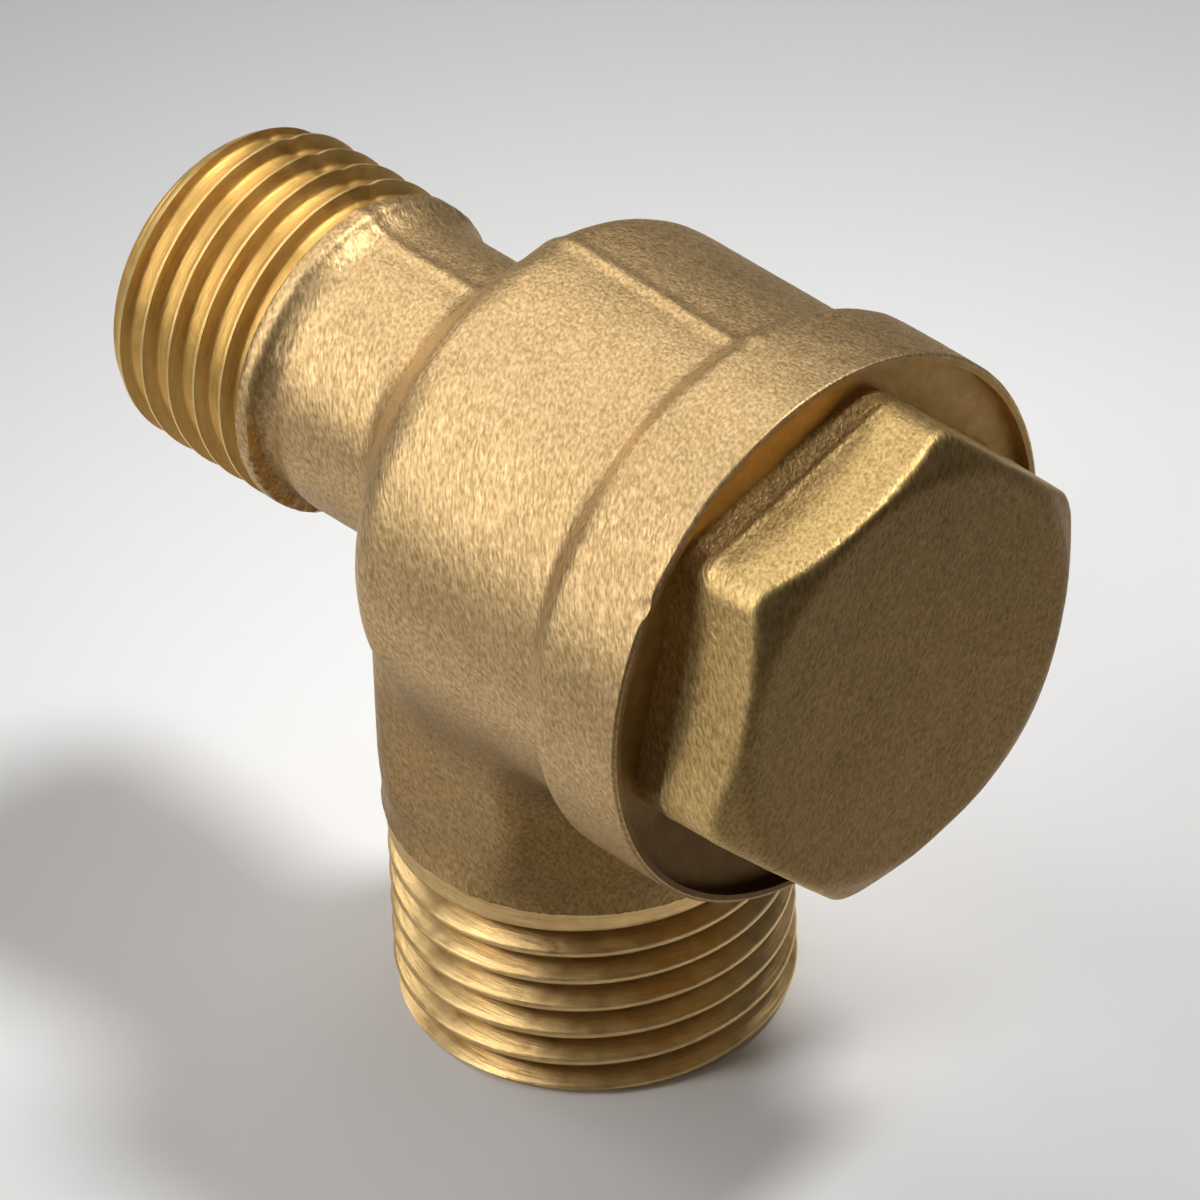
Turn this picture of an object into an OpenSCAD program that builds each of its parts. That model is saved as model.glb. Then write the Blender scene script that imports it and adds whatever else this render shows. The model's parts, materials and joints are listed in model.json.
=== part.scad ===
// Angle non-return valve for an air tank, forged brass, with a spring-loaded poppet inside.
// The origin is the centre of the tank nipple's end face, +Z up. The barrel lies along X:
// air comes in from -X, lifts the poppet off its seat and leaves downwards into the tank.

/* [Tank nipple] */
// Height of the barrel's axis over the end of the tank nipple
axis_h = 32.2; // [30:0.2:38]
// Crest diameter of the tank thread, a parallel half-inch pipe thread
tank_thread_d = 20.955; // [19:0.1:21.4]
// Length of the tank thread with its end chamfer
tank_thread_len = 12.6; // [10:0.2:14]
// Chamfer at the end of the tank thread
tank_chamfer = 0.5; // [0.2:0.1:1]
// Diameter of the passage inside the tank thread
tank_bore_d = 12.4; // [11.6:0.1:14]
// Length of that passage, from the nipple's end to its shoulder
tank_bore_len = 12; // [8:0.2:14]
// Diameter of the narrower passage between that shoulder and the chamber
tank_throat_d = 11.2; // [9:0.1:11.4]

/* [Eight-sided neck] */
// Width of the neck along the barrel
neck_w = 21.8; // [21:0.1:23]
// Width of the neck across the barrel
neck_d = 20.6; // [20:0.1:22]
// Width of the neck across its four bevelled faces
neck_bevel = 21.4; // [21:0.1:23]
// Distance across the neck's rounded corners
neck_corner_d = 22.4; // [21.6:0.1:24]
// Diameter to which the corners taper where the neck meets the tank thread
neck_foot_d = 20.8; // [19.6:0.1:20.9]
// Height of that taper
neck_taper = 3.4; // [1:0.1:5]
// Depth below the barrel's axis at which the neck starts to slope in behind the barrel
neck_slope_drop = 8; // [6:0.2:9]

/* [Barrel] */
// Outer diameter of the barrel
barrel_d = 28; // [26.4:0.2:29.6]
// Distance from the tank nipple's axis to the face of the collar
mouth_x = 17.8; // [16.8:0.2:22]
// Diameter of the collar round the barrel's mouth
collar_d = 30.4; // [30:0.1:32]
// Width of the collar with its blend to the barrel
collar_w = 7.2; // [5.6:0.2:9]
// Width of the smooth step that blends the collar into the barrel
collar_blend_w = 2; // [1:0.1:3]
// Radius on the outer edge of the collar's face
collar_edge_r = 0.35; // [0.1:0.05:0.5]
// Distance from the tank nipple's axis back to the start of the rear shoulder
shoulder_x = 0.4; // [0:0.1:1.2]
// Radius where the barrel rounds over into its rear cone
shoulder_r = 3; // [1.5:0.1:4]
// Slope of the rear cone, measured from the barrel's axis
shoulder_angle = 50; // [45:1:60]
// Radius of the fillet between the rear cone and the inlet neck
root_r = 1.5; // [0.6:0.1:2]

/* [Inlet nipple] */
// Distance from the tank nipple's axis to the end of the inlet nipple
inlet_reach = 27.3; // [25.6:0.1:33]
// Crest diameter of the inlet thread
inlet_thread_d = 17.6; // [16.8:0.1:19]
// Distance from the nipple's end to the far side of the ring that ends the thread
inlet_thread_len = 12.6; // [11:0.1:13.4]
// Diameter of the unthreaded neck behind the inlet thread
inlet_neck_d = 16; // [14:0.1:16.4]
// Slope of the nose cone, measured from the nipple's axis
nose_angle = 60; // [50:1:70]
// Radius between the nose cone and the thread
nose_r = 2; // [1:0.1:2.6]
// Width of the flat rim round the inlet's mouth
nose_rim_w = 1.1; // [0.8:0.1:1.6]
// Diameter of the socket that takes the pipe
inlet_bore_d = 9; // [8.2:0.1:9.6]
// Length of that socket, from the nipple's end to its shoulder
inlet_bore_len = 12; // [9:0.2:14]
// Diameter of the narrower passage between that shoulder and the seat
inlet_throat_d = 8; // [6:0.1:8.1]
// Chamfer at the mouth of both passages
mouth_chamfer = 0.6; // [0.2:0.1:0.7]

/* [Seat and chamber] */
// Distance from the tank nipple's axis back to the seating rim's face
seat_x = 1.5; // [1:0.1:2.2]
// Height of the seating rim over the chamber's floor
seat_h = 1; // [0.6:0.1:1.4]
// Width of the seating rim's face
seat_w = 1; // [0.6:0.1:1.3]
// Radius in the corner of the chamber's floor
floor_r = 0.6; // [0.2:0.1:0.8]
// Depth of the machined recess in the collar's face
recess_depth = 0.8; // [0.4:0.1:1.2]
// Width of the lip left round that recess
lip_w = 0.5; // [0.4:0.05:0.9]

/* [Cap] */
// Width of the hexagon across its flats
hex_af = 23.6; // [23:0.1:25.4]
// Height of the hexagon over its seat
hex_h = 6.4; // [5.4:0.1:8]
// Distance across the hexagon's rounded corners
hex_corner_d = 26.7; // [26:0.1:27.2]
// Diameter of the flat face inside the hexagon's chamfer
hex_face_d = 22.8; // [20:0.1:23]
// Height of the forged band at the foot of the hexagon
band_h = 1.6; // [0.8:0.1:2.2]
// How far that band stands out from the flats
band_step = 0.2; // [0.1:0.05:0.3]
// Angle through which the cap happens to be turned when tight
cap_turn = 13; // [0:1:60]
// Nominal diameter of the thread that holds the cap
cap_thread_d = 20; // [19:0.1:20.6]
// Depth of that thread, from the nominal to the root diameter on one side
cap_thread_depth = 0.8; // [0.5:0.05:1]
// Length of the cap's shank under the hexagon
shank_len = 7; // [6:0.1:8]
// Radius of the round section of the cap's sealing ring
ring_r = 0.8; // [0.6:0.05:0.85]
// Squeeze that flattens the ring on each side
ring_squeeze = 0.05; // [0.02:0.01:0.1]

/* [Poppet] */
// Diameter of the poppet's disc
disc_d = 13.6; // [13.4:0.1:14.4]
// Thickness of the poppet's disc
disc_t = 3.1; // [2.8:0.1:3.6]
// Diameter of the guide stem
stem_d = 5.9; // [4.6:0.1:6.2]
// Length of the stem inside the guide bore while the valve is shut
stem_hold = 3.9; // [3:0.1:4.4]
// Height of the spigot that centres the spring
spigot_h = 1.6; // [1:0.1:2]
// Diameter of the rubber disc at its foot
seal_d = 12.2; // [11.8:0.1:12.4]
// Thickness of the rubber disc
seal_t = 2; // [1.4:0.1:2.2]
// How much narrower the rubber disc is at its face, which keeps it in the dovetailed pocket
dovetail = 0.8; // [0.4:0.1:1]
// How far the rubber stands out of the poppet's face
seal_stand = 0.3; // [0.2:0.05:0.4]
// Travel of the poppet from shut to fully open
lift = 3.5; // [2.5:0.1:3.6]

/* [Spring] */
// Wire diameter of the spring
wire_d = 0.8; // [0.6:0.05:0.8]
// Number of turns, counting one closed turn at each end
spring_turns = 8; // [6:0.5:8]
// Depth of the cap's pocket for the spring
pocket_depth = 3; // [2.4:0.1:3.6]

/* [Clearances] */
// Radial clearance of the stem in its guide bore
slide_fit = 0.05; // [0.03:0.01:0.1]
// Gap between the rubber and the seating rim while the valve is shut
seat_gap = 0.05; // [0.02:0.01:0.1]
// Least gap between the corners of the cap's head and the lip round the recess
head_gap = 0.3; // [0.1:0.1:1]
// Radial clearance of the cap's shank in the barrel
thread_fit = 0.1; // [0.05:0.01:0.15]
// Clearance round the rubber disc and beside the sealing ring
rubber_fit = 0.05; // [0.03:0.01:0.1]
// Clearance of the spring round its spigot, in its pocket and at each end
spring_fit = 0.1; // [0.05:0.01:0.15]
// Free length left in the guide bore at full lift
end_play = 0.3; // [0.2:0.05:0.5]

/* [Hidden] */
$fn = 96;

// Steps in an arc of a turned profile
arc_steps = 8;
// Overlap of a cutting tool beyond the face that it opens
over = 1;
// How far the tank passage runs past the line where it breaks into the chamber
break_in = 0.2;
// Chamfer on small turned edges
edge = 0.4;
// How far the relief under the cap's head stands clear of the thread's root
relief_step = 0.2;
// Width of the shoulder round the stem on which the spigot stands
spigot_step = 0.9;
// Slope of the shoulder that a drill leaves at the end of its hole
drill_slope = 30;
// Slope of the chamfer turned on the hexagon
hex_slope = 30;
// Pitch of the spring's closed end turns, in wire diameters
closed_pitch_ratio = 1.08;
// Sides of the spring wire's section
wire_sides = 8;
// Sections of the spring wire in one turn
rings_per_turn = 20;

inlet_r = inlet_thread_d / 2;
inlet_neck_r = inlet_neck_d / 2;
inlet_bore_r = inlet_bore_d / 2;
inlet_throat_r = inlet_throat_d / 2;
tank_r = tank_thread_d / 2;
tank_bore_r = tank_bore_d / 2;
tank_throat_r = tank_throat_d / 2;
barrel_r = barrel_d / 2;
collar_r = collar_d / 2;
cap_thread_r = cap_thread_d / 2;
chamber_r = cap_thread_r - cap_thread_depth;

// Places along the barrel's axis
head_x = mouth_x - recess_depth;
ring_gland_h = 2 * (ring_r - ring_squeeze);
gland_x = head_x - ring_gland_h;
shank_end_x = head_x - shank_len;
thread_start_x = shank_end_x - edge;
floor_x = -seat_x - seat_h;

// The ring's gland lies between the shank's relief and a counterbore
relief_r = cap_thread_r - cap_thread_depth + relief_step;
gland_r = relief_r + 2 * (ring_r + rubber_fit);

// The recess in the collar's face leaves a narrow lip and clears the cap's head
recess_r = max(collar_r - lip_w, hex_corner_d / 2 + band_step + head_gap);

// Poppet and spring
seal_face_x = -seat_x + seat_gap;
disc_face_x = seal_face_x + seal_stand;
disc_back_x = disc_face_x + disc_t;
stem_r = stem_d / 2;
guide_r = stem_r + slide_fit;
pocket_x = shank_end_x + pocket_depth;
stem_end_x = pocket_x + stem_hold;
guide_end_x = stem_end_x + lift + end_play;
spigot_r = stem_r + spigot_step;
coil_r = spigot_r + spring_fit + wire_d / 2;
pocket_r = coil_r + wire_d / 2 + spring_fit;

// The spring's first and last turns lie close, and the turns between share what is left
coil_from = disc_back_x + spring_fit + wire_d / 2;
coil_to = pocket_x - spring_fit - wire_d / 2;
closed_pitch = wire_d * closed_pitch_ratio;
open_pitch = (coil_to - coil_from - 2 * closed_pitch) / (spring_turns - 2);

// Points of an arc in a turned profile, as [radius, place along the axis].
// The angle is 0 where the arc is furthest from the axis and grows towards -X.
function arc(r, x, size, from, to) =
    [for (i = [0 : arc_steps])
        let (a = from + (to - from) * i / arc_steps)
        [r + size * cos(a), x - size * sin(a)]];

// Points of a smooth step in a turned profile, from one radius to another
function step(r, next_r, x, width) =
    [for (i = [0 : arc_steps])
        [r + (next_r - r) * (1 - cos(180 * i / arc_steps)) / 2, x + width * i / arc_steps]];

// Turns a profile of [radius, place] points about the barrel's axis
module turned(points) {
    translate([0, 0, axis_h]) rotate([0, 90, 0]) rotate_extrude() polygon(points);
}

// Places a hexagonal prism on the barrel's axis
module hex_prism(af, from, to) {
    translate([from, 0, axis_h]) rotate([0, 90, 0]) rotate(cap_turn + 90)
        cylinder(h = to - from, d = af / cos(30), $fn = 6);
}

// Outside of the barrel, collar and inlet nipple
module barrel_skin() {
    rim_r = inlet_bore_r + nose_rim_w;
    nose_end_r = inlet_r - nose_r * (1 - cos(nose_angle));
    nose_x = -inlet_reach + nose_r * sin(nose_angle) + (nose_end_r - rim_r) / tan(nose_angle);
    ring_x = -inlet_reach + inlet_thread_len;
    ring_step = inlet_r - inlet_neck_r;
    cone_top_r = barrel_r - shoulder_r * (1 - cos(shoulder_angle));
    cone_foot_r = inlet_neck_r + root_r * (1 - cos(shoulder_angle));
    cone_len = (cone_top_r - cone_foot_r) / tan(shoulder_angle);
    root_x = -shoulder_x - (shoulder_r + root_r) * sin(shoulder_angle) - cone_len;
    turned(concat(
        [[0, -inlet_reach], [rim_r, -inlet_reach]],
        arc(inlet_r - nose_r, nose_x, nose_r, nose_angle, 0),
        arc(inlet_r, ring_x + ring_step, ring_step, 90, 180),
        arc(inlet_neck_r + root_r, root_x, root_r, 180, 180 + shoulder_angle),
        arc(barrel_r - shoulder_r, -shoulder_x, shoulder_r, shoulder_angle, 0),
        step(barrel_r, collar_r, mouth_x - collar_w, collar_blend_w),
        arc(collar_r - collar_edge_r, mouth_x - collar_edge_r, collar_edge_r, 0, -90),
        [[0, mouth_x]]));
}

// Upright square prism centred on the tank nipple's axis
module upright(width, depth, turn = 0) {
    translate([0, 0, axis_h / 2]) rotate(turn) cube([width, depth, axis_h], center = true);
}

// Eight-sided neck whose corners are rounded and tapered by turning
module neck() {
    foot_z = tank_thread_len;
    slope_z = axis_h - neck_slope_drop;
    corner_r = neck_corner_d / 2;
    intersection() {
        upright(neck_w, neck_d);
        upright(neck_bevel, neck_bevel, 45);
        rotate_extrude() polygon([
            [0, foot_z],
            [neck_foot_d / 2, foot_z],
            [corner_r, foot_z + neck_taper],
            [corner_r, slope_z],
            [corner_r - neck_slope_drop, axis_h],
            [0, axis_h]]);
    }
}

// Tank nipple at the thread's crest diameter, chamfered at both ends
module tank_nipple() {
    rotate_extrude() polygon([
        [0, 0],
        [tank_r - tank_chamfer, 0],
        [tank_r, tank_chamfer],
        [tank_r, tank_thread_len],
        [tank_r - tank_chamfer, tank_thread_len + tank_chamfer],
        [0, tank_thread_len + tank_chamfer]]);
}

// Everything that is bored out along the barrel: inlet passage, chamber, cap thread and recess
module barrel_bores() {
    shoulder_end_x = inlet_bore_len - inlet_reach;
    turned(concat(
        [[0, -inlet_reach - over],
         [inlet_bore_r + mouth_chamfer + over, -inlet_reach - over],
         [inlet_bore_r, -inlet_reach + mouth_chamfer],
         [inlet_bore_r, shoulder_end_x],
         [inlet_throat_r, shoulder_end_x + (inlet_bore_r - inlet_throat_r) * tan(drill_slope)],
         [inlet_throat_r, -seat_x],
         [inlet_throat_r + seat_w, -seat_x],
         [inlet_throat_r + seat_w + seat_h, floor_x]],
        arc(chamber_r - floor_r, floor_x + floor_r, floor_r, 90, 0),
        [[chamber_r, thread_start_x - cap_thread_depth],
         [cap_thread_r, thread_start_x],
         [cap_thread_r, gland_x],
         [gland_r, gland_x],
         [gland_r, head_x],
         [recess_r, head_x],
         [recess_r, mouth_x + over],
         [0, mouth_x + over]]));
}

// Passage from the chamber down through the tank nipple
module tank_bore() {
    top = axis_h - sqrt(pow(chamber_r, 2) - pow(tank_throat_r, 2)) + break_in;
    rotate_extrude() polygon([
        [0, -over],
        [tank_bore_r + mouth_chamfer + over, -over],
        [tank_bore_r, mouth_chamfer],
        [tank_bore_r, tank_bore_len],
        [tank_throat_r, tank_bore_len + (tank_bore_r - tank_throat_r) * tan(drill_slope)],
        [tank_throat_r, top],
        [0, top]]);
}

module body() {
    color("#b8965a") difference() {
        union() {
            barrel_skin();
            neck();
            tank_nipple();
        }
        barrel_bores();
        tank_bore();
    }
}

// Hexagon plug with its threaded shank, spring pocket and guide bore
module cap() {
    top_x = head_x + hex_h;
    corner_r = hex_corner_d / 2;
    face_r = hex_face_d / 2;
    chamfer_h = (corner_r - face_r) * tan(hex_slope);
    band_x = head_x + band_h;
    shank_r = cap_thread_r - thread_fit;
    color("#ad8f4e") difference() {
        union() {
            intersection() {
                hex_prism(hex_af, head_x, top_x);
                turned([
                    [0, head_x],
                    [corner_r, head_x],
                    [corner_r, top_x - chamfer_h],
                    [face_r, top_x],
                    [0, top_x]]);
            }
            intersection() {
                hex_prism(hex_af + 2 * band_step, head_x, band_x);
                turned([
                    [0, head_x],
                    [corner_r + band_step, head_x],
                    [corner_r + band_step, band_x],
                    [0, band_x]]);
            }
            turned([
                [0, shank_end_x],
                [shank_r - cap_thread_depth, shank_end_x],
                [shank_r, shank_end_x + cap_thread_depth],
                [shank_r, gland_x - edge],
                [relief_r, gland_x],
                [relief_r, head_x + edge],
                [0, head_x + edge]]);
        }
        turned([
            [0, shank_end_x - over],
            [pocket_r, shank_end_x - over],
            [pocket_r, pocket_x],
            [guide_r, pocket_x],
            [guide_r, guide_end_x],
            [0, guide_end_x + guide_r * tan(drill_slope)]]);
    }
}

// Rubber ring in the gland under the cap's head, pressed flat on both sides
module cap_seal() {
    color("#1c1c1c") translate([0, 0, axis_h]) rotate([0, 90, 0])
        rotate_extrude() intersection() {
            translate([relief_r + rubber_fit + ring_r, head_x - ring_gland_h / 2]) circle(ring_r, $fn = 32);
            translate([relief_r, gland_x]) square([gland_r - relief_r, ring_gland_h]);
        }
}

// Valve disc with its dovetailed pocket, spring spigot and guide stem
module poppet() {
    disc_r = disc_d / 2;
    pocket_foot_r = seal_d / 2 + rubber_fit;
    pocket_foot_x = seal_face_x + seal_t;
    pocket_mouth_r = pocket_foot_r - dovetail / 2 * (seal_t - seal_stand) / seal_t;
    color("#c9a24a") turned([
        [0, pocket_foot_x],
        [pocket_foot_r, pocket_foot_x],
        [pocket_mouth_r, disc_face_x],
        [disc_r - edge, disc_face_x],
        [disc_r, disc_face_x + edge],
        [disc_r, disc_back_x - edge],
        [disc_r - edge, disc_back_x],
        [spigot_r, disc_back_x],
        [spigot_r, disc_back_x + spigot_h - edge],
        [spigot_r - edge, disc_back_x + spigot_h],
        [stem_r, disc_back_x + spigot_h],
        [stem_r, stem_end_x - edge],
        [stem_r - edge, stem_end_x],
        [0, stem_end_x]]);
}

// Rubber disc in the poppet's face
module seat_seal() {
    foot_r = seal_d / 2;
    color("#202020") turned([
        [0, seal_face_x],
        [foot_r - dovetail / 2, seal_face_x],
        [foot_r, seal_face_x + seal_t],
        [0, seal_face_x + seal_t]]);
}

// Distance travelled along the axis after a number of turns
function coil_advance(t) =
    t < 1 ? closed_pitch * t
    : t < spring_turns - 1 ? closed_pitch + open_pitch * (t - 1)
    : closed_pitch + open_pitch * (spring_turns - 2) + closed_pitch * (t - spring_turns + 1);

// One point on the wire, at a number of turns and an angle round the wire
function wire_point(t, a) =
    let (r = coil_r + wire_d / 2 * cos(a))
    [coil_from + coil_advance(t) + wire_d / 2 * sin(a), r * cos(360 * t), axis_h + r * sin(360 * t)];

// Coil spring: a tube swept along its helix
module spring() {
    rings = spring_turns * rings_per_turn;
    points = [for (i = [0 : rings]) for (j = [0 : wire_sides - 1])
        wire_point(i / rings_per_turn, 360 * j / wire_sides)];
    walls = [for (i = [0 : rings - 1]) for (j = [0 : wire_sides - 1])
        let (k = (j + 1) % wire_sides, a = i * wire_sides, b = a + wire_sides)
        [a + j, a + k, b + k, b + j]];
    start_cap = [[for (j = [0 : wire_sides - 1]) wire_sides - 1 - j]];
    end_cap = [[for (j = [0 : wire_sides - 1]) rings * wire_sides + j]];
    color("#b9bcc0") polyhedron(points, concat(walls, start_cap, end_cap), convexity = 10);
}

body();
cap();
cap_seal();
poppet();
seat_seal();
spring();
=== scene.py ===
"""Forged brass angle non-return valve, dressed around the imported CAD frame.

Shapes are worked out in millimetres in the CAD frame and scaled to metres when a mesh is made.
"""

import json
import math

import bmesh
import bpy
import numpy as np
from mathutils import Matrix, Vector


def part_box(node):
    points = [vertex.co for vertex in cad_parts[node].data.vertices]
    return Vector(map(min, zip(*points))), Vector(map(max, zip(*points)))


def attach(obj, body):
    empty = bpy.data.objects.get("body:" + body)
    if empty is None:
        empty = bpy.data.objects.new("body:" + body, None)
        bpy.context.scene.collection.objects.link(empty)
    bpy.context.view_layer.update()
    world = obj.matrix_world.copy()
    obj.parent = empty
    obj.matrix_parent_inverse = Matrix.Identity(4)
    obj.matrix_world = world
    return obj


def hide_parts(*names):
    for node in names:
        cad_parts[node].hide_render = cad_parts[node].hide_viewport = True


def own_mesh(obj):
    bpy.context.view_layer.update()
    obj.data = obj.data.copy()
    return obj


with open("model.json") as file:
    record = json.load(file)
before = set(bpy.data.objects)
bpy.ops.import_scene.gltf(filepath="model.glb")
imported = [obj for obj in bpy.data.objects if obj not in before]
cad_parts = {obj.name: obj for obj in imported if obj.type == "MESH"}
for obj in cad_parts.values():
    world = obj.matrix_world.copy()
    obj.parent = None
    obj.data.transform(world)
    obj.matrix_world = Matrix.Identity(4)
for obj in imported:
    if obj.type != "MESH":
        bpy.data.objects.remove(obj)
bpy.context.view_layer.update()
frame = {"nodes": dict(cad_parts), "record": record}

MM = 0.001

# Sizes read from the frame
mounts = {m["name"]: m for m in frame["record"]["mounts"]}
body_low, body_high = (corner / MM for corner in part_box("body"))
cap_low, cap_high = (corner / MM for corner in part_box("cap"))
AXIS_Z = mounts["inlet_thread"]["pos_m"][2] / MM
TANK_R = mounts["tank_thread"]["dims"]["r_mm"]
INLET_R = mounts["inlet_thread"]["dims"]["r_mm"]
TANK_BORE_R = mounts["tank_passage"]["dims"]["r_mm"]
SOCKET_R = mounts["pipe_socket"]["dims"]["r_mm"]
INLET_END = body_low.x
MOUTH_X = body_high.x
COLLAR_R = body_high.y
HEX_TOP = cap_high.x
SHANK_END = cap_low.x

# Forged body
BARREL_R = 14.0
SHOULDER_X = -0.4
SHOULDER_R = 3.0
CONE_ANGLE = 50.0
INLET_NECK_R = 8.0
ROOT_R = 1.8
NOSE_ANGLE = 58.0
NOSE_R = 3.4
NOSE_RIM_W = 0.8
RING_FROM = -15.65
RING_TO = -14.7
RING_STEP = 0.45
CREVICE_D = 0.22
CREVICE_W = 1.3
RAMP_RISE = 0.6
RAMP_LEN = 1.7
RING_LUMP = 0.03
COLLAR_W = 7.2
COLLAR_STEP_W = 2.0
NECK_W = 21.8
NECK_D = 20.6
NECK_BEVEL = 21.4
NECK_CORNER_R = 11.2
NECK_FOOT_R = 10.35
NECK_TAPER = 3.4
NECK_ROUND = 0.7
NECK_BLEND = 2.4
NECK_FLARE_R = 10.66
NECK_FLARE = 0.38
THREAD_TOP = 12.4
NICK_Y = 12.6
NICK_UP = 8.8
NICK_R = 0.45
NICK_D = 0.3
RIDGE_H = 0.15
RIDGE_W = 0.45

# Machined inside of the body
RECESS_X = MOUTH_X - 0.8
LIP_W = 0.5
RIM_EDGE = 0.2
GLAND_X = RECESS_X - 1.5
GLAND_R = 11.1
CAP_THREAD_R = 10.0
CAP_THREAD_PITCH = 1.5
CHAMBER_R = 9.2
SOCKET_END = INLET_END + 12.0
INLET_THROAT_R = 4.0
SEAT_X = -1.5
SEAT_H = 1.0
SEAT_W = 1.0
TANK_THROAT_R = 5.6
TANK_BORE_LEN = 12.0

# Cap
HEX_AF = 23.6
HEX_CORNER_R = 13.35
HEX_FACE_R = 11.4
HEX_TURN = 13.0
CHAMFER_SOFT = 0.4
BAND_H = 1.75
BAND_STEP = 0.02
BAND_SOFT = 0.1
FLASH_H = 0.05
FLASH_W = 0.2
POCKET_R = 4.85
POCKET_DEPTH = 3.0
GUIDE_R = 3.0
GUIDE_END = 20.7

# Threads
# The root tones are painted shade in the thread roots, and the flank tone is painted shade on inlet flanks that face
# +X.
TANK_ROOT_SHADE = (0.36, 0.31, 0.26)
INLET_ROOT_SHADE = (0.95, 0.82, 0.62)
INLET_FLANK_SHADE = (0.66, 0.58, 0.48)
TANK_PITCH = 1.814
TANK_THREAD_PHASE = 0.01
INLET_PITCH = 1.9
INLET_THREAD_PHASE = -0.387
THREAD_DENT = (70, 0.5, 0.16)
THREAD_SIDES = 160


def arc(x, r, size, start, end, steps=8):
    """Points (x, r) on an arc. The angle is 0 where the arc is furthest from the axis and grows towards -X."""
    angles = np.radians(np.linspace(start, end, steps + 1))
    return [(x - size * math.sin(a), r + size * math.cos(a)) for a in angles]


def smooth_step_points(x, width, r, next_r, steps=8):
    """Points (x, r) of a smooth step from one radius to another."""
    shares = np.linspace(0, 1, steps + 1)
    return [(x + width * s, r + (next_r - r) * (1 - math.cos(math.pi * s)) / 2) for s in shares]


def smooth_min(a, b, k):
    """Union of two distance fields with a soft blend about k wide."""
    h = np.clip(0.5 + 0.5 * (b - a) / k, 0, 1)
    return b * (1 - h) + a * h - k * h * (1 - h)


def smooth_max(a, b, k):
    return -smooth_min(-a, -b, k)


class ProfileField:
    """Signed distance to a closed outline in (x, r), kept in a fine table and read between its points."""

    STEP = 0.05

    def __init__(self, points, margin=3.0):
        outline = np.array(points)
        self.low = outline.min(0) - margin
        high = outline.max(0) + margin
        counts = np.ceil((high - self.low) / self.STEP).astype(int) + 1
        xs = self.low[0] + self.STEP * np.arange(counts[0])
        rs = self.low[1] + self.STEP * np.arange(counts[1])
        x, r = np.meshgrid(xs, rs, indexing="ij")
        nearest = np.full(x.shape, np.inf)
        inside = np.zeros(x.shape, bool)
        for (ax, ar), (bx, br) in zip(outline, np.roll(outline, -1, axis=0)):
            dx, dr = bx - ax, br - ar
            share = np.clip(((x - ax) * dx + (r - ar) * dr) / (dx * dx + dr * dr), 0, 1)
            nearest = np.minimum(nearest, np.hypot(x - ax - share * dx, r - ar - share * dr))
            if br != ar:
                crosses = (ar > r) != (br > r)
                inside ^= crosses & (x < ax + (r - ar) * dx / dr)
        self.table = np.where(inside, -nearest, nearest)

    def __call__(self, x, r):
        u = np.clip((x - self.low[0]) / self.STEP, 0, self.table.shape[0] - 1.001)
        v = np.clip((r - self.low[1]) / self.STEP, 0, self.table.shape[1] - 1.001)
        i, j = u.astype(int), v.astype(int)
        u, v = u - i, v - j
        t = self.table
        low = t[i, j] * (1 - u) + t[i + 1, j] * u
        high = t[i, j + 1] * (1 - u) + t[i + 1, j + 1] * u
        return low * (1 - v) + high * v


def surface_net(field, xs, ys, zs, pulls=3):
    """Quad mesh of field's zero level on a grid whose lines may be unevenly spaced."""
    x, y, z = np.meshgrid(xs, ys, zs, indexing="ij")
    values = field(x, y, z)
    del x, y, z
    inside = values < 0
    cells = tuple(n - 1 for n in values.shape)
    strides = (cells[1] * cells[2], cells[2], 1)
    lines = (xs, ys, zs)
    total = np.zeros((cells[0] * cells[1] * cells[2], 3))
    hits = np.zeros(total.shape[0])
    quads = []
    for axis in range(3):
        first = [slice(None)] * 3
        second = [slice(None)] * 3
        first[axis], second[axis] = slice(None, -1), slice(1, None)
        start, end = values[tuple(first)], values[tuple(second)]
        crossing = inside[tuple(first)] != inside[tuple(second)]
        index = np.array(np.nonzero(crossing))
        share = start[crossing] / (start[crossing] - end[crossing])
        point = np.stack([lines[k][index[k]] for k in range(3)], 1)
        point[:, axis] += share * (lines[axis][index[axis] + 1] - lines[axis][index[axis]])
        others = [k for k in range(3) if k != axis]
        if axis == 1:
            others.reverse()
        ring = []
        for da, db in ((-1, -1), (0, -1), (0, 0), (-1, 0)):
            cell = index.copy()
            cell[others[0]] += da
            cell[others[1]] += db
            number = sum(cell[k] * strides[k] for k in range(3))
            ring.append(number)
            np.add.at(total, number, point)
            np.add.at(hits, number, 1)
        ring = np.stack(ring, 1)
        outward = inside[tuple(first)][crossing]
        quads.append(np.where(outward[:, None], ring, ring[:, ::-1]))
    used = np.nonzero(hits)[0]
    renumber = np.full(hits.shape, -1)
    renumber[used] = np.arange(len(used))
    points = total[used] / hits[used, None]
    faces = renumber[np.concatenate(quads)]
    reach = 0.02
    for _ in range(pulls):
        level = field(*points.T)
        slope = np.stack([
            field(*(points + reach * np.eye(3)[k]).T) - field(*(points - reach * np.eye(3)[k]).T)
            for k in range(3)], 1) / (2 * reach)
        steepness = np.maximum((slope ** 2).sum(1), 0.25)
        points = points - np.clip(level / steepness, -0.1, 0.1)[:, None] * slope
    return points, faces


def new_object(name, points, faces):
    """Object in metres from points in millimetres and a list or array of faces."""
    mesh = bpy.data.meshes.new(name)
    mesh.from_pydata((np.asarray(points) * MM).tolist(), [], [list(map(int, f)) for f in faces])
    mesh.validate()
    body = bpy.data.objects.new(name, mesh)
    bpy.context.scene.collection.objects.link(body)
    return body


def face_outward(body):
    """Points every face normal of a closed mesh outwards."""
    work = bmesh.new()
    work.from_mesh(body.data)
    bmesh.ops.recalc_face_normals(work, faces=work.faces)
    work.to_mesh(body.data)
    work.free()


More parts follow.
